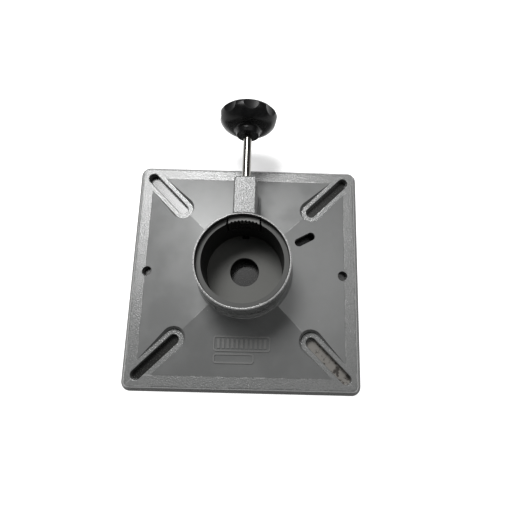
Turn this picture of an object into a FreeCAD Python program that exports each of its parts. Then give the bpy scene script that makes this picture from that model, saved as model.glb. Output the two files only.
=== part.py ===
import FreeCAD, Part
import math
import os
import re
import Sketcher
from FreeCAD import Placement, Rotation, Vector

# Pedestal socket base with a screw clamp: a square die-cast plate that rises as a low pyramid to a
# round socket, and a hand knob whose threaded spindle pushes a curved shoe against the post.
# Origin: middle of the underside. +Z is the socket's axis, +Y is the side that the knob is on.

# name, value in mm or degrees, what it is
DIMENSIONS = [
    ("plate_side", 230, "side of the square plate"),
    ("corner_radius", 9, "plate corner in plan"),
    ("side_slope", 4.6, "how far the plate's sloped sides lean in"),
    ("rim_height", 8, "top of the flat rim band"),
    ("edge_round", 1.8, "rounding of the plate's upper edge"),
    ("pyramid_half", 100, "half side of the pyramid at the rim"),
    ("pyramid_slope", 0.2126, "rise of a pyramid face per mm of run"),
    ("pyramid_top_half", 28, "half side of the pyramid inside the socket"),
    ("collar_height", 70, "top of the socket's lip"),
    ("collar_top_radius", 43, "outside of the collar at the lip"),
    ("collar_foot_radius", 45.6, "outside of the collar at rim height"),
    ("foot_fillet", 3, "fillet at the foot of collar and boss"),
    ("lip_round", 0.9, "rounding of the lip's two edges"),
    ("counterbore_radius", 40.9, "inside of the lip"),
    ("step_height", 64, "step where the thick wall starts"),
    ("bore_radius", 36.75, "socket bore for a 73 mm post"),
    ("floor_height", 16, "floor of the socket"),
    ("cable_hole_radius", 14.3, "hole in the socket's floor"),
    ("cavity_height", 11, "ceiling of the hollow underside"),
    ("rim_thickness", 4.5, "metal of the rim above the hollow"),
    ("side_wall", 7, "plate's side wall at the ground"),
    ("cavity_slope_half", 97, "half side where the ceiling starts to rise"),
    ("cavity_flat_half", 62, "half side of the flat part of the ceiling"),
    ("rib_width", 4, "stiffening ribs below"),
    ("rib_start", 22.3, "near end of a rib, inside the socket's floor"),
    ("rib_sink", 1, "how far a rib reaches into the ceiling"),
    ("hollow_draft", 1, "how far the hollow's side wall leans in"),
    ("slot_inner", 94, "centre of a corner slot's inner end, from the socket's axis"),
    ("slot_outer", 141.2, "centre of a corner slot's outer end"),
    ("slot_width", 10, "corner slot for a mounting screw"),
    ("slot_pad_radius", 10, "pad below a corner slot"),
    ("land_radius", 9.5, "flat land around a corner slot"),
    ("land_draft", 0.42, "widening of the land's wall per mm of height"),
    ("land_reach", 175, "where the land's cutter ends, past the corner"),
    ("land_top", 24, "height where the land's cutter ends"),
    ("slot_break", 0.8, "rounding of the slots' upper edges"),
    ("side_hole_offset", 98, "round mounting hole from the middle"),
    ("side_hole_radius", 5, "round mounting hole"),
    ("hole_pad_radius", 9, "pad below a round mounting hole"),
    ("wire_slot_distance", 68.7, "middle of the short radial slot from the axis"),
    ("wire_slot_angle", 30.5, "direction of the short radial slot"),
    ("wire_slot_pitch", 14.5, "between the short slot's end centres"),
    ("wire_slot_radius", 4.1, "half width of the short slot"),
    ("frame_height", 0.8, "raised blank frames on the front face"),
    ("frame_line", 1.3, "width of a raised frame's line"),
    ("frame_corner", 3.2, "corner of a raised frame"),
    ("frame_sink", 1, "how deep a frame's pad starts below the face"),
    ("frame_left", 27.2, "left edge of both frames from the middle"),
    ("wide_frame_right", 27, "right edge of the wide frame"),
    ("wide_frame_low", 24.3, "its lower edge, up the slope from the rim"),
    ("wide_frame_high", 38.9, "its upper edge"),
    ("small_frame_right", 11.6, "right edge of the small frame"),
    ("small_frame_low", 12.9, "its lower edge, up the slope from the rim"),
    ("small_frame_high", 22.3, "its upper edge"),
    ("bar_width", 2.4, "upright bars in the wide frame"),
    ("bar_pitch", 4.4, "between neighbouring bars"),
    ("bar_count", 11, "upright bars in the wide frame"),
    ("bar_gap", 2.9, "between a bar's ends and the frame's outer edge"),
    ("boss_half_width", 10.4, "clamp boss at its top"),
    ("boss_draft", 1, "how far the boss widens down to the rim"),
    ("boss_height", 66, "top of the clamp boss"),
    ("boss_end", 80, "far end of the boss at its top"),
    ("boss_start", 39, "where the boss starts inside the collar's wall"),
    ("boss_round", 1.6, "rounding of the boss's upper edges"),
    ("boss_flare", 2.5, "fillet where the boss's sides meet the collar"),
    ("boss_core_half", 5.5, "half width of the core below the boss"),
    ("boss_core_start", 52, "core below the boss, near end"),
    ("boss_core_end", 74, "core below the boss, far end"),
    ("boss_core_height", 44, "ceiling of the core below the boss"),
    ("notch_half_width", 3.5, "drain notch at the foot of the bore"),
    ("notch_start", 33.8, "near edge of the drain notch"),
    ("notch_end", 38.4, "far edge of the drain notch"),
    ("notch_height", 20, "top of the drain notch"),
    ("spindle_height", 56, "spindle axis above the ground"),
    ("pocket_half_width", 15.6, "pocket that guides the shoe"),
    ("pocket_back_radius", 42.0, "back of the pocket"),
    ("pocket_floor", 41.5, "floor of the pocket"),
    ("pocket_mouth_round", 3, "rounded edges where the pocket meets the bore"),
    ("shoe_half_width", 14.25, "clamp shoe"),
    ("shoe_face_radius", 36.95, "serrated face of the shoe"),
    ("shoe_blank_start", 28.8, "near side of the shoe's blank, before its face is cut"),
    ("shoe_back_radius", 41.7, "back of the shoe"),
    ("shoe_floor", 42, "underside of the shoe"),
    ("shoe_top", 63.9, "top of the shoe"),
    ("shoe_round", 0.6, "rounding of the shoe's top edges"),
    ("serration_radius", 1.15, "flute in the shoe's face"),
    ("serration_lift", 0.25, "how far a flute's centre lies inside the face"),
    ("serration_angle", 5.0, "between neighbouring flutes"),
    ("serrations_per_side", 4, "flutes on each side of the middle"),
    ("nose_radius", 2.5, "reduced end of the spindle"),
    ("nose_clearance", 0.05, "between the nose and the shoe"),
    ("nose_end", 37.5, "tip of the spindle's nose from the socket's axis"),
    ("nose_chamfer", 0.4, "chamfer at the nose's tip"),
    ("clip_seat", 38.8, "face of the shoe's recess that the clip bears on"),
    ("clip_thickness", 0.6, "retaining clip"),
    ("clip_inner_radius", 2.0, "bottom of the spindle's groove"),
    ("clip_outer_radius", 4.4, "outside of the retaining clip"),
    ("clip_gap", 3.2, "opening of the retaining clip"),
    ("clip_recess_radius", 5.2, "recess in the shoe for the clip"),
    ("clip_play", 0.05, "end play between clip, shoe and washer"),
    ("washer_seat", 40.8, "bottom of the recess in the shoe's back"),
    ("washer_thickness", 0.8, "thrust washer"),
    ("washer_radius", 6.2, "outside of the thrust washer"),
    ("washer_bore_radius", 2.6, "inside of the thrust washer"),
    ("washer_recess_radius", 6.5, "recess in the shoe's back"),
    ("spindle_radius", 4, "M8 spindle"),
    ("thread_clearance", 0.05, "between spindle and bush"),
    ("bush_radius", 6, "thread bush in the boss"),
    ("bush_end", 60, "outer end of the thread bush"),
    ("flange_radius", 7.2, "flange of the thread bush"),
    ("flange_thickness", 2.4, "flange of the thread bush"),
    ("rod_hole_radius", 4.6, "clearance hole through the boss's outer part"),
    ("past", 5, "how far a cutter runs past the face that it opens"),
    ("hub_tip", 125.2, "knob hub, end nearest the boss"),
    ("hub_tip_radius", 10.6, "hub at its tip"),
    ("hub_tip_round", 0.8, "rounding of the hub's tip"),
    ("hub_foot", 129, "where the hub's taper ends"),
    ("hub_foot_radius", 11.8, "hub where its taper ends"),
    ("hub_hollow", 3, "hollow arc between hub and dome"),
    ("dome_start", 131.9, "where the domed inner face starts"),
    ("dome_start_radius", 14.2, "radius where the domed inner face starts"),
    ("dome_radius", 14, "arc of the domed inner face"),
    ("knob_radius", 28, "outside of the knob's lobes"),
    ("rim_widest", 145, "where the knob is widest"),
    ("rim_round", 4.2, "arc of the rim's outer edge"),
    ("knob_crown", 150.8, "middle of the knob's outer face"),
    ("scallop_radius", 28, "cutter for a finger scallop"),
    ("scallop_centre", 54.1, "centre of a scallop from the knob's axis"),
    ("scallop_count", 8, "finger scallops"),
    ("scallop_phase", 7.5, "turn of the knob at rest"),
    ("scallop_round", 0.9, "rounding of the scallops' edges"),
    ("insert_radius", 5.8, "brass insert moulded into the knob"),
    ("insert_collar_radius", 7.2, "insert's anchoring collar"),
    ("insert_start", 128.6, "insert, end nearest the boss"),
    ("insert_collar_start", 137, "anchoring collar, near face"),
    ("insert_collar_end", 143, "anchoring collar, far face"),
    ("insert_end", 146.4, "insert, far end"),
    ("spindle_end", 145.4, "far end of the spindle inside the insert"),
    ("end_chamfer", 0.8, "chamfer at the spindle's far end"),
]

NAMES = "|".join(row[0] for row in DIMENSIONS)
NEAR = 0.05  # mm, how closely an edge that is to be rounded lies to where it is looked for

doc = FreeCAD.newDocument("pedestal_base")
sheet = doc.addObject("Spreadsheet::Sheet", "dims")
for row, (name, value, note) in enumerate(DIMENSIONS, start=1):
    sheet.set(f"A{row}", name)
    sheet.set(f"B{row}", str(value))
    sheet.set(f"C{row}", note)
    sheet.setAlias(f"B{row}", name)
doc.recompute()


def size(expression):
    """The value of an expression over the sheet's cells."""
    return float(sheet.evalExpression(expression))


def bound(expression):
    """The same expression, as another object of the document writes it."""
    return re.sub(rf"\b({NAMES})\b", r"dims.\1", expression)


# ---------------------------------------------------------------- sketch and feature helpers

def new_body(label):
    body = doc.addObject("PartDesign::Body", label)
    body.Label = label
    return body


def origin_feature(body, role):
    return next(item for item in body.Origin.OriginFeatures if item.Role == role)


def new_sketch(body, name, role="XY_Plane", height="0", turn="0", axis=Vector(0, 0, 1)):
    """A sketch on an origin plane, lifted along the plane's normal and turned about an axis."""
    sketch = body.newObject("Sketcher::SketchObject", name)
    sketch.AttachmentSupport = [(origin_feature(body, role), "")]
    sketch.MapMode = "FlatFace"
    lift = Vector(0, 0, size(height))
    sketch.AttachmentOffset = Placement(lift, Rotation(axis, size(turn)))
    sketch.setExpression("AttachmentOffset.Base.z", bound(height))
    if turn != "0":
        sketch.setExpression("AttachmentOffset.Rotation.Angle", bound(turn))
    return sketch


def pin_down(sketch, kind, expression, *where):
    """A dimension bound to an expression over the sheet's cells."""
    index = sketch.addConstraint(Sketcher.Constraint(kind, *where, size(expression)))
    sketch.renameConstraint(index, f"{kind}_{index}")
    sketch.setExpression(f"Constraints.{kind}_{index}", bound(expression))


def hold_point(sketch, geometry, end, x, y):
    """Fix one point of a sketch at (x, y) from its origin."""
    for kind, expression in (("DistanceX", x), ("DistanceY", y)):
        pin_down(sketch, kind, expression, -1, 1, geometry, end)


def add_polygon(sketch, corners):
    """A closed outline of straight lines through corners given as pairs of expressions."""
    places = [Vector(size(x), size(y), 0) for x, y in corners]
    first = sketch.GeometryCount
    count = len(corners)
    for index, place in enumerate(places):
        sketch.addGeometry(Part.LineSegment(place, places[(index + 1) % count]), False)
    for index in range(count):
        following = first + (index + 1) % count
        sketch.addConstraint(Sketcher.Constraint("Coincident", first + index, 2, following, 1))
    for index, (x, y) in enumerate(corners):
        hold_point(sketch, first + index, 1, x, y)


def add_arc(sketch, start, end, radius, hollow):
    """An arc that bulges right of the way from start to end, or left of it where it is hollow."""
    chord = end - start
    across = Vector(chord.y, -chord.x, 0).normalize() * (-1 if hollow else 1)
    sagitta = radius - math.sqrt(radius ** 2 - (chord.Length / 2) ** 2)
    through = (start + end) / 2 + across * sagitta
    index = sketch.addGeometry(Part.Arc(start, through, end), False)
    forward = (sketch.getPoint(index, 1) - start).Length < 1e-6
    return index, (1, 2) if forward else (2, 1)


def add_profile(sketch, corners, arcs, hollow=()):
    """A closed outline through corners; arcs gives the radius of each curved side, by its number."""
    places = [Vector(size(x), size(y), 0) for x, y in corners]
    count = len(corners)
    sides = []
    for index, place in enumerate(places):
        following = places[(index + 1) % count]
        if index in arcs:
            geometry, ends = add_arc(sketch, place, following, size(arcs[index]), index in hollow)
            pin_down(sketch, "Radius", arcs[index], geometry)
        else:
            geometry, ends = sketch.addGeometry(Part.LineSegment(place, following), False), (1, 2)
        sides.append((geometry, ends))
    for index, (geometry, ends) in enumerate(sides):
        other, other_ends = sides[(index + 1) % count]
        sketch.addConstraint(Sketcher.Constraint("Coincident", geometry, ends[1], other, other_ends[0]))
        hold_point(sketch, geometry, ends[0], *corners[index])


def add_rounded_rectangle(sketch, left, bottom, right, top, radius):
    """Sides and corner arcs in turn, anticlockwise from the lower left."""
    corners = [(f"{left} + {radius}", bottom), (f"{right} - ({radius})", bottom),
               (right, f"{bottom} + {radius}"), (right, f"{top} - ({radius})"),
               (f"{right} - ({radius})", top), (f"{left} + {radius}", top),
               (left, f"{top} - ({radius})"), (left, f"{bottom} + {radius}")]
    add_profile(sketch, corners, {side: radius for side in (1, 3, 5, 7)})


def add_rectangle(sketch, left, bottom, right, top):
    add_polygon(sketch, [(left, bottom), (right, bottom), (right, top), (left, top)])


def add_circle(sketch, x, y, radius):
    centre = Vector(size(x), size(y), 0)
    index = sketch.addGeometry(Part.Circle(centre, Vector(0, 0, 1), size(radius)), False)
    hold_point(sketch, index, 3, x, y)
    pin_down(sketch, "Radius", radius, index)


def add_oblong(sketch, start, end, radius):
    """A slot outline along the sketch's X axis between two end centres."""
    x1, x2, r = size(start), size(end), size(radius)
    up = Vector(0, 0, 1)
    near = Part.ArcOfCircle(Part.Circle(Vector(x1, 0, 0), up, r), math.pi / 2, 3 * math.pi / 2)
    far = Part.ArcOfCircle(Part.Circle(Vector(x2, 0, 0), up, r), -math.pi / 2, math.pi / 2)
    below = Part.LineSegment(Vector(x1, -r, 0), Vector(x2, -r, 0))
    above = Part.LineSegment(Vector(x2, r, 0), Vector(x1, r, 0))
    left, lower, right, upper = (sketch.addGeometry(item, False) for item in (near, below, far, above))
    for one, its_end, other, other_end in ((left, 2, lower, 1), (lower, 2, right, 1),
                                           (right, 2, upper, 1), (upper, 2, left, 1)):
        sketch.addConstraint(Sketcher.Constraint("Tangent", one, its_end, other, other_end))
    hold_point(sketch, left, 3, start, "0")
    hold_point(sketch, right, 3, end, "0")
    pin_down(sketch, "Radius", radius, left)


def pad(body, name, sketch, length):
    feature = body.newObject("PartDesign::Pad", name)
    feature.Profile = sketch
    feature.setExpression("Length", bound(length))
    return feature


def pocket(body, name, sketch, length, reverse=False):
    feature = body.newObject("PartDesign::Pocket", name)
    feature.Profile = sketch
    feature.setExpression("Length", bound(length))
    feature.Reversed = reverse
    return feature


def loft(body, name, kind, sketches):
    feature = body.newObject(f"PartDesign::{kind}Loft", name)
    feature.Profile = sketches[0]
    feature.Sections = sketches[1:]
    feature.Ruled = True
    return feature


def revolve(body, name, kind, sketch):
    """A full turn about the sketch's own vertical axis."""
    feature = body.newObject(f"PartDesign::{kind}", name)
    feature.Profile = sketch
    feature.ReferenceAxis = (sketch, ["V_Axis"])
    feature.Angle = 360
    return feature


def polar(body, name, feature, count):
    pattern = body.newObject("PartDesign::PolarPattern", name)
    pattern.Originals = [feature]
    pattern.Axis = (origin_feature(body, "Z_Axis"), [""])
    pattern.Angle = 360
    pattern.Occurrences = count
    body.Tip = pattern
    return pattern


def mirror(body, name, feature, role):
    pattern = body.newObject("PartDesign::Mirrored", name)
    pattern.Originals = [feature]
    pattern.MirrorPlane = (origin_feature(body, role), [""])
    body.Tip = pattern
    return pattern


def round_edges(body, name, radius, test):
    """A fillet on every edge of the body so far whose shape passes the test."""
    doc.recompute()
    tip = body.Tip
    names = [f"Edge{i}" for i, edge in enumerate(tip.Shape.Edges, start=1) if test(edge)]
    feature = body.newObject("PartDesign::Fillet", name)
    feature.Base = (tip, names)
    feature.setExpression("Radius", bound(radius))
    doc.recompute()
    return feature


def level(edge, height):
    """Whether an edge lies in the horizontal plane at this height."""
    box = edge.BoundBox
    return abs(box.ZMin - height) < NEAR and abs(box.ZMax - height) < NEAR


def middle(edge):
    first, last = edge.ParameterRange
    return edge.valueAt((first + last) / 2)


def distance_out(point):
    return math.hypot(point.x, point.y)


def along_y(body, turn=0.0):
    """Stand a piece modelled about Z on the spindle's line, its +Z towards the knob."""
    facing = Rotation(Vector(1, 0, 0), -90).multiply(Rotation(Vector(0, 0, 1), turn))
    body.Placement = Placement(Vector(0, 0, size("spindle_height")), facing)
    body.setExpression("Placement.Base.z", bound("spindle_height"))


# ---------------------------------------------------------------- base casting

def cast_plate(body):
    """Square plate with rounded edges, and the low pyramid on it."""
    outline = new_sketch(body, "plate_outline")
    half = "plate_side / 2"
    add_rounded_rectangle(outline, f"-{half}", f"-{half}", half, half, "corner_radius")
    plate = pad(body, "plate", outline, "rim_height")
    plate.setExpression("TaperAngle", bound("-atan(side_slope / rim_height)"))
    round_edges(body, "plate_edge", "edge_round",
                lambda edge: level(edge, size("rim_height")))
    foot = new_sketch(body, "pyramid_foot", height="rim_height")
    add_rectangle(foot, "-pyramid_half", "-pyramid_half", "pyramid_half", "pyramid_half")
    rise = "rim_height + pyramid_slope * (pyramid_half - pyramid_top_half)"
    top = new_sketch(body, "pyramid_top", height=rise)
    add_rectangle(top, "-pyramid_top_half", "-pyramid_top_half", "pyramid_top_half", "pyramid_top_half")
    loft(body, "pyramid", "Additive", [foot, top])


def cast_lands(body):
    """Flat lands, cut into the pyramid's ridges, that the corner slots lie in."""
    reach = [("rim_height", "land_radius"),
             ("land_top", "land_radius + land_draft * (land_top - rim_height)")]
    rings = []
    for index, (height, radius) in enumerate(reach):
        ring = new_sketch(body, f"land_ring_{index}", height=height, turn="45")
        add_oblong(ring, "slot_inner", "land_reach", radius)
        rings.append(ring)
    polar(body, "lands", loft(body, "land", "Subtractive", rings), 4)


def cast_collar_and_boss(body):
    """Solid collar and boss, before the socket and the clamp's holes are cut."""
    collar = new_sketch(body, "collar_profile", "XZ_Plane")
    add_polygon(collar, [("0", "rim_height"), ("collar_foot_radius", "rim_height"),
                         ("collar_top_radius", "collar_height"), ("0", "collar_height")])
    revolve(body, "collar", "Revolution", collar)
    foot = new_sketch(body, "boss_foot", height="rim_height")
    add_rectangle(foot, "-boss_half_width - boss_draft", "boss_start",
                  "boss_half_width + boss_draft", "boss_end + boss_draft")
    top = new_sketch(body, "boss_top", height="boss_height")
    add_rectangle(top, "-boss_half_width", "boss_start", "boss_half_width", "boss_end")
    loft(body, "boss", "Additive", [foot, top])

    def upper_boss_edge(edge):
        point = middle(edge)
        return level(edge, size("boss_height")) and distance_out(point) > size("collar_foot_radius")

    def outer_boss_corner(edge):
        return edge.BoundBox.ZLength > size("floor_height") and middle(edge).y > size("boss_end")

    round_edges(body, "boss_corners", "2 * boss_round", outer_boss_corner)
    round_edges(body, "boss_edges", "boss_round", upper_boss_edge)


def cast_frames(body):
    """Two blank raised frames on the front face of the pyramid, the wide one filled with plain bars."""
    slope = math.degrees(math.atan(size("pyramid_slope")))
    tilt = Rotation(Vector(1, 0, 0), slope)
    foot = Vector(0, -size("pyramid_half"), size("rim_height"))
    ground = Placement(foot - tilt.multVec(Vector(0, 0, size("frame_sink"))), tilt)

    def face_sketch(name):
        sketch = new_sketch(body, name + "_outline")
        sketch.setExpression("AttachmentOffset.Base.z", None)
        sketch.AttachmentOffset = ground
        return sketch

    for name in ("wide_frame", "small_frame"):
        outline = face_sketch(name)
        edges = ["-frame_left", name + "_low", name + "_right", name + "_high"]
        add_rounded_rectangle(outline, *edges, "frame_corner")
        inner = [f"{edge} {'+' if side < 2 else '-'} frame_line" for side, edge in enumerate(edges)]
        add_rounded_rectangle(outline, *inner, "frame_corner - frame_line")
        pad(body, name, outline, "frame_sink + frame_height")
    bars = face_sketch("bars")
    for index in range(int(size("bar_count"))):
        centre = (f"(wide_frame_right - frame_left) / 2 + bar_pitch * ({index} - (bar_count - 1) / 2)")
        add_rectangle(bars, f"{centre} - bar_width / 2", "wide_frame_low + bar_gap",
                      f"{centre} + bar_width / 2", "wide_frame_high - bar_gap")
    pad(body, "bars", bars, "frame_sink + frame_height")


def cut_socket(body):
    """Bore, counterbore and floor hole in one turn."""
    profile = new_sketch(body, "socket_profile", "XZ_Plane")
    add_polygon(profile, [("0", "-past"), ("cable_hole_radius", "-past"),
                          ("cable_hole_radius", "floor_height"), ("bore_radius", "floor_height"),
                          ("bore_radius", "step_height"), ("counterbore_radius", "step_height"),
                          ("counterbore_radius", "collar_height + past"), ("0", "collar_height + past")])
    revolve(body, "socket", "Groove", profile)


def hollow_underside(body):
    """The hollow that follows the pyramid, with the ribs and screw pads left in it."""
    wall = "plate_side / 2 - side_wall"
    ceiling = "rim_height - rim_thickness"
    walls = [(wall, "0"), (wall + " - hollow_draft", ceiling)]
    slopes = [("cavity_slope_half", ceiling), ("cavity_flat_half", "cavity_height")]
    for name, rings in (("rim_hollow", walls), ("pyramid_hollow", slopes)):
        sketches = []
        for index, (half, height) in enumerate(rings):
            ring = new_sketch(body, f"{name}_{index}", height=height)
            add_rectangle(ring, f"-({half})", f"-({half})", half, half)
            sketches.append(ring)
        loft(body, name, "Subtractive", sketches)
    rib = new_sketch(body, "rib_profile", "XZ_Plane")
    outer = "plate_side / 2 - side_wall / 2"
    low, high = ceiling + " + rib_sink", "cavity_height + rib_sink"
    add_polygon(rib, [("rib_start", "0"), (outer, "0"), (outer, low), ("cavity_slope_half", low),
                      ("cavity_flat_half", high), ("rib_start", high)])
    strip = pad(body, "rib", rib, "rib_width")
    strip.Midplane = True
    polar(body, "ribs", strip, 4)
    screw_pad = new_sketch(body, "slot_pad_outline", turn="45")
    add_oblong(screw_pad, "slot_inner", "slot_outer", "slot_pad_radius")
    polar(body, "slot_pads", pad(body, "slot_pad", screw_pad, "rim_height"), 4)
    hole_pad = new_sketch(body, "hole_pad_outline")
    add_circle(hole_pad, "side_hole_offset", "0", "hole_pad_radius")
    mirror(body, "hole_pads", pad(body, "hole_pad", hole_pad, "rim_height"), "YZ_Plane")


def cut_mounting_holes(body):
    slot = new_sketch(body, "slot_outline", turn="45")
    add_oblong(slot, "slot_inner", "slot_outer", "slot_width / 2")
    polar(body, "slots", pocket(body, "slot", slot, "rim_height + past", reverse=True), 4)
    hole = new_sketch(body, "side_hole_outline")
    add_circle(hole, "side_hole_offset", "0", "side_hole_radius")
    drilled = pocket(body, "side_hole", hole, "rim_height + past", reverse=True)
    mirror(body, "side_holes", drilled, "YZ_Plane")
    wire = new_sketch(body, "wire_slot_outline", turn="wire_slot_angle")
    add_oblong(wire, "wire_slot_distance - wire_slot_pitch / 2",
               "wire_slot_distance + wire_slot_pitch / 2", "wire_slot_radius")
    pocket(body, "wire_slot", wire, "floor_height + past", reverse=True)

    def slot_brim(edge):
        if not level(edge, size("rim_height")):
            return False
        point = middle(edge)
        out = distance_out(point)
        off_diagonal = abs(abs(point.x) - abs(point.y)) / math.sqrt(2)
        in_slot = off_diagonal < size("slot_width") / 2 + NEAR
        return in_slot and size("slot_inner - slot_width") < out < size("slot_outer + slot_width")

    round_edges(body, "slot_brims", "slot_break", slot_brim)


def cut_clamp(body):
    """Pocket for the shoe, holes for bush and spindle, core under the boss and drain notch."""
    space = new_sketch(body, "shoe_pocket_outline", height="pocket_floor")
    add_shoe_sector(space, "pocket_half_width", "shoe_blank_start", "pocket_back_radius")
    pocket(body, "shoe_pocket", space, "collar_height", reverse=True)
    round_edges(body, "pocket_mouth", "pocket_mouth_round", pocket_mouth_edge)
    for name, start, end, radius in (
            ("flange_seat", "bore_radius", "pocket_back_radius + flange_thickness", "flange_radius"),
            ("bush_hole", "pocket_back_radius", "bush_end", "bush_radius"),
            ("rod_hole", "bush_end", "boss_end + past", "rod_hole_radius")):
        ring = new_sketch(body, name + "_outline", "XZ_Plane", height=f"-({start})")
        add_circle(ring, "0", "spindle_height", radius)
        pocket(body, name, ring, f"{end} - ({start})")
    core = new_sketch(body, "boss_core_outline")
    add_rectangle(core, "-boss_core_half", "boss_core_start", "boss_core_half", "boss_core_end")
    pocket(body, "boss_core", core, "boss_core_height", reverse=True)
    notch = new_sketch(body, "notch_outline")
    add_rectangle(notch, "-notch_half_width", "notch_start", "notch_half_width", "notch_end")
    pocket(body, "notch", notch, "notch_height", reverse=True)


def pocket_mouth_edge(edge):
    """The two upright edges where the shoe's pocket meets the bore."""
    point = middle(edge)
    upright = edge.BoundBox.ZLength > size("floor_height") and edge.BoundBox.XLength < NEAR
    return upright and abs(distance_out(point) - size("bore_radius")) < NEAR and point.y > 0


def add_shoe_sector(sketch, half_width, near, back_radius):
    """Outline with parallel sides, a straight near edge and a back that is an arc about the axis."""
    w, y1, r = size(half_width), size(near), size(back_radius)
    corner = math.sqrt(r * r - w * w)
    start = math.atan2(corner, w)
    arc = Part.ArcOfCircle(Part.Circle(Vector(0, 0, 0), Vector(0, 0, 1), r), start, math.pi - start)
    lines = [Part.LineSegment(Vector(-w, corner, 0), Vector(-w, y1, 0)),
             Part.LineSegment(Vector(-w, y1, 0), Vector(w, y1, 0)),
             Part.LineSegment(Vector(w, y1, 0), Vector(w, corner, 0))]
    back = sketch.addGeometry(arc, False)
    left, front, right = (sketch.addGeometry(line, False) for line in lines)
    for one, other in ((back, left), (left, front), (front, right), (right, back)):
        sketch.addConstraint(Sketcher.Constraint("Coincident", one, 2, other, 1))
    sketch.addConstraint(Sketcher.Constraint("Coincident", back, 3, -1, 1))
    pin_down(sketch, "Radius", back_radius, back)
    hold_point(sketch, front, 1, f"-{half_width}", near)
    hold_point(sketch, front, 2, half_width, near)
    sketch.addConstraint(Sketcher.Constraint("Vertical", left))
    sketch.addConstraint(Sketcher.Constraint("Vertical", right))


def make_base_casting():
    body = new_body("base_casting")
    cast_plate(body)
    cast_collar_and_boss(body)
    cast_lands(body)
    cast_frames(body)

    def foot_edge(edge):
        point = middle(edge)
        out = distance_out(point)
        height = size("rim_height") + size("pyramid_slope") * (
            size("pyramid_half") - max(abs(point.x), abs(point.y)))
        near_collar = abs(out - size("collar_foot_radius")) < 1.2
        near_boss = (abs(point.x) < size("boss_half_width + boss_draft") + NEAR
                     and size("collar_top_radius") < point.y < size("boss_end + past"))
        return abs(point.z - height) < NEAR and (near_collar or near_boss)

    def boss_root(edge):
        point = middle(edge)
        on_collar = size("collar_top_radius") < distance_out(point) < size("collar_foot_radius")
        beside_boss = abs(point.x) < size("boss_half_width + boss_draft") and point.y > 0
        return on_collar and beside_boss and point.z > size("step_height") / 2

    round_edges(body, "foot_fillets", "foot_fillet", foot_edge)
    round_edges(body, "boss_flares", "boss_flare", boss_root)
    hollow_underside(body)
    cut_socket(body)
    round_edges(body, "lip", "lip_round", lambda edge: level(edge, size("collar_height")))
    cut_mounting_holes(body)
    cut_clamp(body)
    return body


# ---------------------------------------------------------------- clamp pieces

def make_thread_bush():
    """Flanged bush pressed into the boss from the pocket; the flange takes the clamp's load."""
    body = new_body("thread_bush")
    bore = "spindle_radius + thread_clearance"
    start = "pocket_back_radius"
    shoulder = f"{start} + flange_thickness"
    profile = new_sketch(body, "bush_profile", "XZ_Plane")
    add_polygon(profile, [(bore, start), ("flange_radius", start), ("flange_radius", shoulder),
                          ("bush_radius", shoulder), ("bush_radius", "bush_end"), (bore, "bush_end")])
    revolve(body, "bush", "Revolution", profile)
    along_y(body)
    return body


def make_clamp_shoe():
    """Curved shoe with upright serrations, recessed in front for the clip and behind for the washer."""
    body = new_body("clamp_shoe")
    outline = new_sketch(body, "shoe_outline", height="shoe_floor")
    add_shoe_sector(outline, "shoe_half_width", "shoe_blank_start", "shoe_back_radius")
    pad(body, "blank", outline, "shoe_top - shoe_floor")
    face = new_sketch(body, "face_outline")
    add_circle(face, "0", "0", "shoe_face_radius")
    pocket(body, "face", face, "collar_height", reverse=True)
    round_edges(body, "top_edges", "shoe_round",
                lambda edge: level(edge, size("shoe_top")) and
                distance_out(middle(edge)) > size("shoe_face_radius + shoe_round"))
    for name, start, end, radius in (
            ("clip_recess", "shoe_blank_start", "clip_seat", "clip_recess_radius"),
            ("nose_hole", "shoe_blank_start", "shoe_back_radius + 1", "nose_radius + nose_clearance"),
            ("washer_recess", "washer_seat", "shoe_back_radius + 1", "washer_recess_radius")):
        ring = new_sketch(body, name + "_outline", "XZ_Plane", height=f"-({start})")
        add_circle(ring, "0", "spindle_height", radius)
        pocket(body, name, ring, f"{end} - ({start})")
    for side, sign in (("left", ""), ("right", "-")):
        flute = new_sketch(body, f"{side}_flute_outline", turn=f"{sign}serration_angle / 2")
        add_circle(flute, "0", "shoe_face_radius - serration_lift", "serration_radius")
        cut = pocket(body, f"{side}_flute", flute, "collar_height", reverse=True)
        row = polar(body, f"{side}_flutes", cut, int(size("serrations_per_side")))
        row.setExpression("Angle", bound("serration_angle * (serrations_per_side - 1)"))
        row.Reversed = sign == "-"
    return body


def make_thrust_washer():
    body = new_body("thrust_washer")
    start = "washer_seat"
    end = "washer_seat + washer_thickness"
    profile = new_sketch(body, "washer_profile", "XZ_Plane")
    add_polygon(profile, [("washer_bore_radius", start), ("washer_radius", start),
                          ("washer_radius", end), ("washer_bore_radius", end)])
    revolve(body, "washer", "Revolution", profile)
    along_y(body)
    return body


def make_shoe_retaining_clip():
    """Open clip that snaps into the spindle's groove, in front of the shoe's web."""
    body = new_body("shoe_retaining_clip")
    ring = new_sketch(body, "clip_outline", height="clip_seat - clip_play - clip_thickness")
    add_circle(ring, "0", "0", "clip_outer_radius")
    add_circle(ring, "0", "0", "clip_inner_radius")
    pad(body, "clip", ring, "clip_thickness")
    gap = new_sketch(body, "gap_outline", height="clip_seat - past")
    add_rectangle(gap, "-clip_gap / 2", "-clip_outer_radius - past", "clip_gap / 2", "0")
    pocket(body, "gap", gap, "2 * past", reverse=True)
    along_y(body)
    return body


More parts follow.
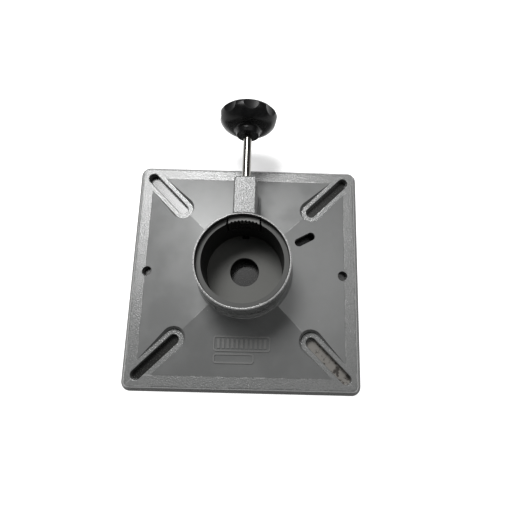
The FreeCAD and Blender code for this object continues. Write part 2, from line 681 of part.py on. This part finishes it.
def make_clamp_spindle():
    """Spindle with a grooved nose that holds the shoe, and a far end that sits in the knob."""
    body = new_body("clamp_spindle")
    shoulder = "washer_seat + washer_thickness + clip_play"
    groove_far = "clip_seat - clip_play"
    groove_near = "clip_seat - clip_play - clip_thickness"
    profile = new_sketch(body, "spindle_profile", "XZ_Plane")
    tip = "nose_radius"
    add_polygon(profile, [("0", "nose_end"), (tip + " - nose_chamfer", "nose_end"),
                          (tip, "nose_end + nose_chamfer"), (tip, groove_near),
                          ("clip_inner_radius", groove_near),
                          ("clip_inner_radius", groove_far), (tip, groove_far), (tip, shoulder),
                          ("spindle_radius", shoulder), ("spindle_radius", "spindle_end - end_chamfer"),
                          ("spindle_radius - end_chamfer", "spindle_end"), ("0", "spindle_end")])
    revolve(body, "rod", "Revolution", profile)
    along_y(body)
    return body


# ---------------------------------------------------------------- knob

def scallop_edge(edge):
    """Whether an edge borders one of the finger scallops."""
    point = middle(edge)
    step = 2 * math.pi / size("scallop_count")
    nearest = round(math.atan2(point.x, point.y) / step) * step
    reach = size("scallop_centre")
    away = math.hypot(point.x - reach * math.sin(nearest), point.y - reach * math.cos(nearest))
    return abs(away - size("scallop_radius")) < NEAR


def make_knob_body():
    """Half section with hub, domed inner face and crowned outer face, then the finger scallops."""
    body = new_body("knob_body")
    profile = new_sketch(body, "knob_profile", "XZ_Plane")
    corners = [("0", "hub_tip"), ("hub_tip_radius", "hub_tip"), ("hub_foot_radius", "hub_foot"),
               ("dome_start_radius", "dome_start"), ("knob_radius", "rim_widest"),
               ("knob_radius - rim_round", "rim_widest + rim_round"), ("0", "knob_crown")]
    add_profile(profile, corners, {2: "hub_hollow", 3: "dome_radius", 4: "rim_round"}, hollow=(2,))
    revolve(body, "blank", "Revolution", profile)
    round_edges(body, "hub_tip_edge", "hub_tip_round", lambda edge: level(edge, size("hub_tip")))
    cutter = new_sketch(body, "scallop_outline", height="hub_tip")
    add_circle(cutter, "0", "scallop_centre", "scallop_radius")
    scallop = pocket(body, "scallop", cutter, "knob_crown - hub_tip", reverse=True)
    ring = polar(body, "scallops", scallop, int(size("scallop_count")))
    ring.setExpression("Occurrences", bound("scallop_count"))
    round_edges(body, "scallop_edges", "scallop_round", scallop_edge)
    cavity = new_sketch(body, "insert_cavity", "XZ_Plane")
    add_polygon(cavity, insert_outline("0"))
    revolve(body, "insert_seat", "Groove", cavity)
    mouth = new_sketch(body, "spindle_mouth", height="hub_tip")
    add_circle(mouth, "0", "0", "spindle_radius + thread_clearance")
    pocket(body, "mouth", mouth, "insert_start - hub_tip", reverse=True)
    along_y(body, size("scallop_phase"))
    return body


def insert_outline(inner):
    """Outside of the brass insert, closed along a bore of the given radius."""
    return [(inner, "insert_start"), ("insert_radius", "insert_start"),
            ("insert_radius", "insert_collar_start"), ("insert_collar_radius", "insert_collar_start"),
            ("insert_collar_radius", "insert_collar_end"), ("insert_radius", "insert_collar_end"),
            ("insert_radius", "insert_end"), (inner, "insert_end")]


def make_knob_insert():
    body = new_body("knob_insert")
    profile = new_sketch(body, "insert_profile", "XZ_Plane")
    add_polygon(profile, insert_outline("spindle_radius"))
    revolve(body, "insert", "Revolution", profile)
    along_y(body)
    return body


# ---------------------------------------------------------------- build, check, write

MAKERS = [make_base_casting, make_thread_bush, make_clamp_shoe, make_thrust_washer,
          make_shoe_retaining_clip, make_clamp_spindle, make_knob_body, make_knob_insert]

subparts = [maker() for maker in MAKERS]
doc.recompute()

for item in doc.Objects:
    if "Invalid" in item.State or "Error" in item.State:
        raise RuntimeError(f"{item.Label} failed: {item.State}")
os.makedirs("parts", exist_ok=True)
for piece in subparts:
    shape = piece.Shape
    if shape.isNull() or not shape.isValid() or len(shape.Solids) != 1:
        raise RuntimeError(f"{piece.Label} is not one valid solid")
    shape.exportStep(os.path.join("parts", piece.Label + ".step"))
    print(piece.Label, round(shape.Volume / 1000, 2), "cm3")
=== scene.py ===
import math

import bpy
from mathutils import Euler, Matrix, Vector


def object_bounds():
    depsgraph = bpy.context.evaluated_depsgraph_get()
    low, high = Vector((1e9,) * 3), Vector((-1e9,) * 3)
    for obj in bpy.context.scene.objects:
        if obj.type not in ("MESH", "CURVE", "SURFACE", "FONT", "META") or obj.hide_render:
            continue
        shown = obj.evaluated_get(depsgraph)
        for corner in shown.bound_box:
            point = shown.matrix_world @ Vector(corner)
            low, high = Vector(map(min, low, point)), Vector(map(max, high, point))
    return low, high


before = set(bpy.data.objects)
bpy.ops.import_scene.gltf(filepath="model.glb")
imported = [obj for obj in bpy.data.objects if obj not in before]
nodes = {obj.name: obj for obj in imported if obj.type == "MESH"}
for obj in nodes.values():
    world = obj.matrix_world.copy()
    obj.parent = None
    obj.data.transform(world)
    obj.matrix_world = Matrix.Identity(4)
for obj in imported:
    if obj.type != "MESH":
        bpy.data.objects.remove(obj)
cad_low, cad_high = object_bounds()
MM = 0.001

# Where the casting's surfaces lie, from the middle of its foot: heights, then distances outward.
RIM_TOP = 8 * MM
SOCKET_FLOOR = 16 * MM
RAISED_FROM = 34 * MM  # above this only the collar and the boss are left
SHOE_TOP = 63.9 * MM
LEDGE = 64 * MM
COLLAR_TOP = 70 * MM
COUNTERBORE_RADIUS = 40.9 * MM
RIM_INNER = 100 * MM
RIM_EDGE = 109.8 * MM  # the rim's upper edge, from which the sides fall away
PYRAMID_SLOPE = 0.2126


# ------------------------------------------------------------------- materials

class Finish:
    """A material under construction: its shader and the nodes that feed it."""

    def __init__(self, name, **values):
        self.material = bpy.data.materials.new(name)
        self.material.use_nodes = True
        self.tree = self.material.node_tree
        self.shader = self.tree.nodes["Principled BSDF"]
        for key, value in values.items():
            self.shader.inputs[key.replace("_", " ")].default_value = value
        self.place = self.tree.nodes.new("ShaderNodeTexCoord").outputs["Object"]

    def node(self, kind, settings=None, **inputs):
        made = self.tree.nodes.new("ShaderNode" + kind)
        for key, value in (settings or {}).items():
            setattr(made, key, value)
        for key, value in inputs.items():
            self.feed(made.inputs[key.replace("_", " ")], value)
        return made

    def feed(self, socket, value):
        if isinstance(value, bpy.types.NodeSocket):
            self.tree.links.new(value, socket)
        else:
            socket.default_value = value

    def noise(self, size, detail=2.0, rough=0.5, place=None):
        """Cloudy noise from 0 to 1 whose features are about this many metres."""
        return self.node("TexNoise", Vector=place or self.place, Scale=1 / size,
                         Detail=detail, Roughness=rough).outputs["Fac"]

    def cells(self, size, feature="F1", smooth=None):
        """Distance from the nearest of points scattered about this many metres apart."""
        made = self.node("TexVoronoi", {"feature": feature}, Vector=self.place, Scale=1 / size)
        if smooth is not None:
            made.inputs["Smoothness"].default_value = smooth
        return made.outputs["Distance"]

    def math(self, operation, *values):
        made = self.node("Math", {"operation": operation})
        for socket, value in zip(made.inputs, values):
            self.feed(socket, value)
        return made.outputs[0]

    def ramp(self, value, low, high, to_low=0.0, to_high=1.0):
        """value's stretch from low to high, spread over to_low to to_high."""
        return self.node("MapRange", {"interpolation_type": "SMOOTHSTEP"}, Value=value,
                         **{"From_Min": low, "From_Max": high, "To_Min": to_low,
                            "To_Max": to_high}).outputs["Result"]

    def mix(self, share, first, second):
        """The colour between first and second that share, from 0 to 1, stands for."""
        made = self.tree.nodes.new("ShaderNodeMix")
        made.data_type = "RGBA"
        self.feed(made.inputs["Factor"], share)
        self.feed(made.inputs[6], (*first, 1) if isinstance(first, tuple) else first)
        self.feed(made.inputs[7], (*second, 1) if isinstance(second, tuple) else second)
        return made.outputs[2]

    def blend(self, share, first, second):
        """The number between first and second that share, from 0 to 1, stands for."""
        return self.math("ADD", self.math("MULTIPLY", share, second),
                         self.math("MULTIPLY", self.math("SUBTRACT", 1.0, share), first))

    def near(self, value, middle, reach):
        """1 where value is close to middle, falling to 0 at reach from it."""
        away = self.math("ABSOLUTE", self.math("SUBTRACT", value, middle))
        return self.ramp(away, reach, 0.4 * reach)

    def axes(self):
        return self.node("SeparateXYZ", Vector=self.place).outputs

    def bump(self, height, strength, distance, under=None):
        made = self.node("Bump", Height=height, Strength=strength, Distance=distance)
        if under is not None:
            self.feed(made.inputs["Normal"], under)
        return made.outputs["Normal"]

    def set(self, socket, value):
        self.feed(self.shader.inputs[socket], value)


def cast_paint():
    """Grey enamel on a casting.

    It is satin on the faces, hammered on the rim, collar and boss, and dark in the socket, whose bore wall
    is painted shade. Its edges, lip and front relief carry painted highlights, and its sides, collar and
    boss painted shade.
    """
    satin_tones = (0.206, 0.209, 0.207), (0.226, 0.229, 0.227)
    hammered_tones = (0.190, 0.192, 0.189), (0.158, 0.161, 0.159)
    # The raised collar and boss tones are darker, partly as painted shade.
    raised_tones_with_shade = (0.046, 0.048, 0.047), (0.104, 0.107, 0.105)
    # These lighter tones are painted highlights: on the front relief, on the worn lip, and along the edges.
    relief_painted_highlight, lip_wear_highlight_tone, edge_painted_highlight = (0.27, 0.27, 0.265), (0.34, 0.34, 0.335), (0.42, 0.42, 0.415)
    # The first tone here is painted shade on the plate's sides; the second is for chips.
    side_painted_shade, chipped = (0.042, 0.043, 0.041), (0.48, 0.48, 0.47)
    # The first tone here is painted shade on the bore's wall.
    bore_painted_shade, thin_ledge, thin_floor = (0.016, 0.016, 0.015), (0.062, 0.063, 0.060), (0.095, 0.096, 0.089)

    paint = Finish("grey_enamel", Coat_Roughness=0.12)
    x, y, z = paint.axes()
    across = paint.math("ABSOLUTE", x)
    along = paint.math("ABSOLUTE", y)
    square = paint.math("MAXIMUM", across, along)
    squares = paint.math("ADD", paint.math("POWER", x, 2.0), paint.math("POWER", y, 2.0))
    out = paint.math("SQRT", squares)
    rim = paint.ramp(square, RIM_INNER - 1.5 * MM, RIM_INNER + 0.5 * MM)
    raised = paint.ramp(z, RAISED_FROM, RAISED_FROM + 4 * MM)
    outside = paint.ramp(out, COUNTERBORE_RADIUS + 0.2 * MM, COUNTERBORE_RADIUS + 0.7 * MM)
    lands = paint.ramp(z, RIM_TOP + 0.3 * MM, RIM_TOP + 0.1 * MM)
    low = paint.math("MAXIMUM", rim, lands)
    coarse = paint.math("MULTIPLY", paint.math("MAXIMUM", low, raised), outside)
    hammer = paint.cells(1.5 * MM, "SMOOTH_F1", 0.6)
    ripple = paint.noise(1.1 * MM, 3.0, 0.6)
    grain = paint.noise(0.45 * MM, 2.0)
    clouds = paint.noise(26 * MM, 3.0)
    chips = paint.cells(24 * MM)

    speckled = paint.mix(paint.ramp(hammer, 0.15, 0.75), *hammered_tones)
    # On the raised collar and boss a different speckle is laid, painted much darker as painted shade.
    raised_speckle_and_shade = paint.mix(paint.ramp(ripple, 0.38, 0.62), *raised_tones_with_shade)
    speckled = paint.mix(paint.math("MULTIPLY", raised, 0.85), speckled, raised_speckle_and_shade)
    smooth = paint.mix(paint.ramp(clouds, 0.35, 0.7), *satin_tones)
    tone = paint.mix(coarse, smooth, speckled)
    # The raised frames and bars on the front face are painted a little brighter on top, as a painted
    # highlight.
    face = paint.math("MULTIPLY_ADD", paint.math("SUBTRACT", RIM_INNER, square), PYRAMID_SLOPE, RIM_TOP)
    proud = paint.math("SUBTRACT", z, face)
    relief = paint.math("MULTIPLY", paint.ramp(proud, 0.5 * MM, 0.7 * MM),
                        paint.ramp(proud, 1.6 * MM, 1.2 * MM))
    front = paint.math("MULTIPLY", paint.ramp(y, -55 * MM, -60 * MM),
                       paint.ramp(square, RIM_INNER - 4 * MM, RIM_INNER - 6 * MM))
    tone = paint.mix(paint.math("MULTIPLY", relief, front), tone, relief_painted_highlight)
    # The lip is worn along its top and painted lighter there, as a painted highlight.
    lip_wear_highlight_mask = paint.math("MULTIPLY", paint.ramp(z, COLLAR_TOP - 1.2 * MM, COLLAR_TOP - 0.6 * MM),
                      paint.ramp(ripple, 0.3, 0.6, 0.4, 1.0))
    tone = paint.mix(lip_wear_highlight_mask, tone, lip_wear_highlight_tone)
    # Lighter lines, broken by noise, are painted along the ridges, the rim's inner line and its upper edge,
    # as painted highlights.
    off_ridge = paint.math("ABSOLUTE", paint.math("SUBTRACT", across, along))
    edge = paint.ramp(off_ridge, 0.9 * MM, 0.3 * MM)
    edge = paint.math("MAXIMUM", edge, paint.near(square, RIM_INNER, 0.7 * MM))
    edge = paint.math("MAXIMUM", edge, paint.near(square, RIM_EDGE, 0.6 * MM))
    edge = paint.math("MULTIPLY", edge, paint.ramp(paint.noise(13 * MM, 6.0, 0.75), 0.49, 0.60))
    tone = paint.mix(paint.math("MULTIPLY", edge, 0.5), tone, edge_painted_highlight)
    # The plate's outer sides are painted dark, as painted shade.
    side = paint.math("MULTIPLY", paint.ramp(square, RIM_EDGE - 1.3 * MM, RIM_EDGE + 1.7 * MM),
                      paint.ramp(z, RIM_TOP - 0.8 * MM, RIM_TOP - 2.8 * MM))
    tone = paint.mix(side, tone, side_painted_shade)
    # Inside, the bore's wall is painted near-black as painted shade, and the floor and the step are thinly
    # sprayed.
    ledge = paint.math("MULTIPLY", paint.ramp(z, LEDGE - 0.4 * MM, LEDGE - 0.1 * MM),
                       paint.ramp(z, LEDGE + 0.4 * MM, LEDGE + 0.1 * MM))
    lining = paint.mix(ledge, bore_painted_shade, thin_ledge)
    lining = paint.mix(paint.ramp(z, SOCKET_FLOOR + 3 * MM, SOCKET_FLOOR + 0.5 * MM), lining, thin_floor)
    tone = paint.mix(outside, lining, tone)
    tone = paint.mix(paint.ramp(chips, 0.022, 0.016), tone, chipped)
    paint.set("Base Color", tone)

    shine = paint.math("MULTIPLY", outside, paint.math("SUBTRACT", 1.0, side))
    paint.set("Specular IOR Level", paint.ramp(side, 0.0, 1.0, 0.5, 0.1))
    paint.set("Metallic", paint.math("MULTIPLY", shine, paint.ramp(coarse, 0.0, 1.0, 0.3, 0.1)))
    lacquer = paint.ramp(coarse, 0.0, 1.0, 0.12, 0.55)
    paint.set("Coat Weight", paint.math("MULTIPLY", shine, lacquer))
    satin = paint.ramp(clouds, 0.3, 0.7, 0.30, 0.38)
    gloss = paint.ramp(ripple, 0.3, 0.7, 0.26, 0.38)
    primer_rough = 0.62
    paint.set("Roughness", paint.blend(outside, primer_rough, paint.blend(coarse, satin, gloss)))
    swell = paint.math("MULTIPLY_ADD", hammer, -0.35, ripple)
    skin = paint.bump(swell, paint.ramp(coarse, 0.0, 1.0, 0.05, 0.85), 0.3 * MM)
    skin = paint.bump(grain, paint.ramp(coarse, 0.0, 1.0, 0.04, 0.15), 0.08 * MM, skin)
    paint.set("Normal", skin)
    paint.set("Coat Normal", skin)
    return paint.material


def blasted_aluminium():
    """Cast aluminium shoe, blasted and dulled, with darker pores."""
    metal = Finish("blasted_aluminium", Metallic=0.35)
    grain = metal.noise(0.45 * MM, 4.0, 0.7)
    pores = metal.cells(1.4 * MM)
    tone = metal.mix(metal.ramp(grain, 0.3, 0.7), (0.10, 0.10, 0.097), (0.15, 0.15, 0.145))
    tone = metal.mix(metal.ramp(pores, 0.08, 0.16), (0.05, 0.05, 0.048), tone)
    # Below its top edge the shoe is painted near-black, as painted shade.
    height = metal.axes()["Z"]
    shoe_face_painted_shade = metal.ramp(height, SHOE_TOP - 0.7 * MM, SHOE_TOP - 2.9 * MM, 0.0, 0.8)
    tone = metal.mix(shoe_face_painted_shade, tone, (0.012, 0.012, 0.011))
    metal.set("Base Color", tone)
    metal.set("Roughness", metal.ramp(grain, 0.3, 0.7, 0.5, 0.66))
    metal.set("Normal", metal.bump(grain, 0.4, 0.1 * MM))
    return metal.material


def turned_steel(name, light, dark, rough, stripe):
    """Steel turned about the spindle's line, so its marks run round it."""
    metal = Finish(name, Metallic=1.0)
    along = metal.node("CombineXYZ", X=metal.axes()["Y"], Y=0.0, Z=0.0).outputs[0]
    marks = metal.noise(stripe, 3.0, 0.7, along)
    smear = metal.noise(5 * MM, 3.0)
    metal.set("Base Color", metal.mix(metal.ramp(marks, 0.3, 0.7), dark, light))
    metal.set("Roughness", metal.ramp(smear, 0.3, 0.7, rough, rough * 1.7))
    metal.set("Normal", metal.bump(marks, 0.25, 0.04 * MM))
    return metal.material


def moulded_black():
    """Black thermoset with a faint moulded grain and slight polish wear."""
    plastic = Finish("black_thermoset", IOR=1.5, Specular_IOR_Level=0.2)
    grain = plastic.noise(0.35 * MM, 3.0, 0.6)
    smear = plastic.noise(7 * MM, 3.0)
    plastic.set("Base Color", plastic.mix(plastic.ramp(smear, 0.3, 0.7),
                                          (0.0045, 0.0045, 0.0048), (0.008, 0.008, 0.0082)))
    plastic.set("Roughness", plastic.ramp(smear, 0.3, 0.7, 0.24, 0.36))
    plastic.set("Normal", plastic.bump(grain, 0.12, 0.05 * MM))
    return plastic.material


def turned_brass():
    """Brass with the fine mottle of a cut surface."""
    metal = Finish("turned_brass", Metallic=1.0)
    grain = metal.noise(0.3 * MM, 3.0, 0.7)
    metal.set("Base Color", metal.mix(metal.ramp(grain, 0.3, 0.7),
                                      (0.42, 0.28, 0.10), (0.66, 0.46, 0.18)))
    metal.set("Roughness", metal.ramp(grain, 0.3, 0.7, 0.25, 0.42))
    metal.set("Normal", metal.bump(grain, 0.2, 0.05 * MM))
    return metal.material


def wear(node, material):
    """Put the material on every slot of a CAD node."""
    for slot in nodes[node].material_slots:
        slot.material = material
    nodes[node].data.materials[0] = material


paint = cast_paint()
bright_steel = turned_steel("polished_steel", light=(0.27, 0.26, 0.24), dark=(0.19, 0.185, 0.17),
                            rough=0.12, stripe=0.5 * MM)
plain_steel = turned_steel("zinc_plated_steel", light=(0.62, 0.62, 0.60), dark=(0.46, 0.46, 0.45),
                           rough=0.26, stripe=0.4 * MM)
finishes = {"base_casting": paint, "clamp_shoe": blasted_aluminium(),
            "clamp_spindle": bright_steel, "thrust_washer": plain_steel,
            "shoe_retaining_clip": plain_steel, "thread_bush": plain_steel,
            "knob_body": moulded_black(), "knob_insert": turned_brass()}
for name, finish in finishes.items():
    wear(name, finish)


# ------------------------------------------------------- stage, light, camera

FLOOR_REACH = 3.0
BENCH_REACH = 108 * MM


def add_sheet(name, reach, height, material):
    """A square sheet of the set, lying level."""
    mesh = bpy.data.meshes.new(name)
    corners = [(-reach, -reach, 0), (reach, -reach, 0), (reach, reach, 0), (-reach, reach, 0)]
    mesh.from_pydata(corners, [], [(0, 1, 2, 3)])
    sheet = bpy.data.objects.new(name, mesh)
    sheet.location.z = height
    mesh.materials.append(material)
    bpy.context.scene.collection.objects.link(sheet)


def make_floor():
    """A pale floor, and under the plate the dark bench that its holes look down on."""
    cover = Finish("pale_floor", Roughness=0.9, Specular_IOR_Level=0.1, Emission_Strength=0.5)
    cover.set("Base Color", cover.mix(cover.noise(0.2), (0.90, 0.90, 0.90), (0.93, 0.93, 0.93)))
    cover.set("Emission Color", (1, 1, 1, 1))
    add_sheet("floor", FLOOR_REACH, cad_low.z - 0.3 * MM, cover.material)
    bench = Finish("dark_bench", Roughness=0.22)
    specks = bench.noise(1.1 * MM, 2.0)
    stains = bench.noise(9 * MM, 4.0, 0.7)
    x, y, _ = bench.axes()
    stone = bench.mix(bench.ramp(specks, 0.58, 0.68), (0.014, 0.014, 0.013), (0.07, 0.07, 0.065))
    pale = bench.mix(bench.ramp(stains, 0.42, 0.5), (0.05, 0.045, 0.04), (0.20, 0.19, 0.175))
    # The bench is pale under the front right corner.
    corner = bench.ramp(bench.math("SUBTRACT", x, y), 120 * MM, 135 * MM)
    bench.set("Base Color", bench.mix(corner, stone, pale))
    add_sheet("bench", BENCH_REACH, cad_low.z - 0.1 * MM, bench.material)


def add_softbox(name, direction, distance, width, height, watts, target):
    data = bpy.data.lights.new(name, "AREA")
    data.shape = "RECTANGLE"
    data.size, data.size_y = width, height
    data.energy = watts
    light = bpy.data.objects.new(name, data)
    light.location = target + Vector(direction).normalized() * distance
    light.rotation_euler = (target - light.location).to_track_quat("-Z", "Y").to_euler()
    bpy.context.scene.collection.objects.link(light)


make_floor()
middle = Vector((0, 0, 30 * MM))
# name, direction, distance, width, height, watts
SOFTBOXES = [
    ("key", (-0.17, 0.50, 1.00), 1.3, 0.38, 0.38, 11.5),
    ("left_key", (-0.42, 0.40, 1.00), 1.3, 0.45, 0.45, 4.0),
    ("window", (-0.214, 0.636, 0.743), 1.3, 0.40, 0.40, 2.0),
    ("right_fill", (0.53, 0.19, 0.83), 1.3, 0.50, 0.50, 1.0),
    ("high_right", (0.24, 0.14, 0.96), 1.3, 0.35, 0.35, 0.6),
]
for name, direction, distance, width, height, watts in SOFTBOXES:
    add_softbox(name, direction, distance, width, height, watts, middle)

AMBIENT = 0.10
world = bpy.data.worlds.new("studio")
world.use_nodes = True
world.node_tree.nodes["Background"].inputs["Color"].default_value = (0.98, 0.99, 1.0, 1)
world.node_tree.nodes["Background"].inputs["Strength"].default_value = AMBIENT
bpy.context.scene.world = world
bpy.context.scene.view_settings.view_transform = "Standard"

LENS, LENS_SHIFT = 29.62, -0.0256
CAMERA_PLACE = (0.01928, -0.08113, 0.42142)
CAMERA_TURN = (13.72, -0.82, 1.39)
lens = bpy.data.cameras.new("camera")
lens.lens = LENS
lens.sensor_width = 36
lens.shift_x = LENS_SHIFT
camera = bpy.data.objects.new("camera", lens)
camera.location = CAMERA_PLACE
camera.rotation_euler = Euler([math.radians(angle) for angle in CAMERA_TURN])
bpy.context.scene.collection.objects.link(camera)
bpy.context.scene.camera = camera
